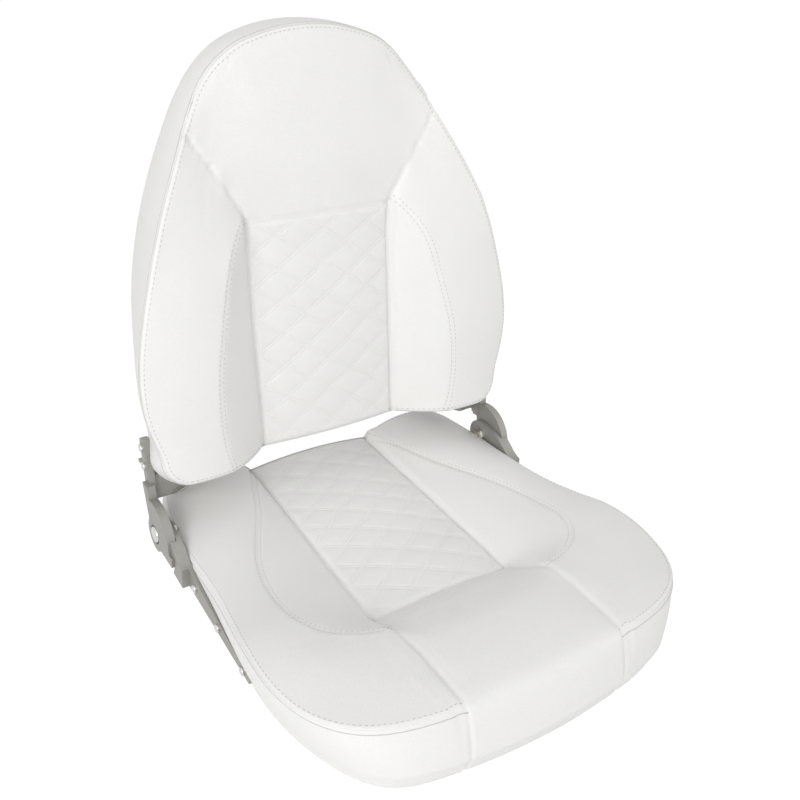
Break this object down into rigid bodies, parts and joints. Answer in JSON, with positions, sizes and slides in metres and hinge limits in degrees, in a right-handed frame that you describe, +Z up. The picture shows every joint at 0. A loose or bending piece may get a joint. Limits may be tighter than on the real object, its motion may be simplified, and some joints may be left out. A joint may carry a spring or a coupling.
{
  "type": "folding boat seat",
  "caption": "Padded folding boat seat: a bolstered seat on a ribbed pan, with a backrest that folds forward on two cast side hinges.",
  "frame": {"origin": "centre of the four pedestal bolt holes, in the plane of the seat pan's underside", "axes": "+Z up, -Y towards the front of the seat, +X to the right seen from the front"},
  "size_m": [0.4966, 0.5945, 0.5899],
  "materials": {
    "cover_vinyl": "satin",
    "pan_plastic": "matte",
    "shell_plastic": "satin",
    "arm_casting": "satin",
    "bolt_steel": "satin",
    "screw_steel": "satin",
    "zinc_steel": "satin",
    "bushing_nylon": "matte"
  },
  "bodies": {
    "seat_base": {"seat_pan": "pan_plastic", "seat_cushion": "cover_vinyl", "mount_tee_nuts": "zinc_steel", "lower_arm_left": "arm_casting", "lower_arm_screws_left": "screw_steel", "pivot_bolt_left": "bolt_steel", "pivot_washer_left": "zinc_steel", "pivot_nut_left": "zinc_steel", "lower_arm_right": "arm_casting", "lower_arm_screws_right": "screw_steel", "pivot_bolt_right": "bolt_steel", "pivot_washer_right": "zinc_steel", "pivot_nut_right": "zinc_steel"},
    "backrest": {"back_shell": "shell_plastic", "back_cushion": "cover_vinyl", "upper_arm_left": "arm_casting", "upper_arm_screws_left": "screw_steel", "pivot_bushing_left": "bushing_nylon", "upper_arm_right": "arm_casting", "upper_arm_screws_right": "screw_steel", "pivot_bushing_right": "bushing_nylon"}
  },
  "joints": [
    {"name": "back_fold", "type": "hinge", "parent": "seat_base", "child": "backrest", "pos_m": [0, 0.176, 0.051], "axis": [1, 0, 0], "range_deg": [0, 58]}
  ]
}
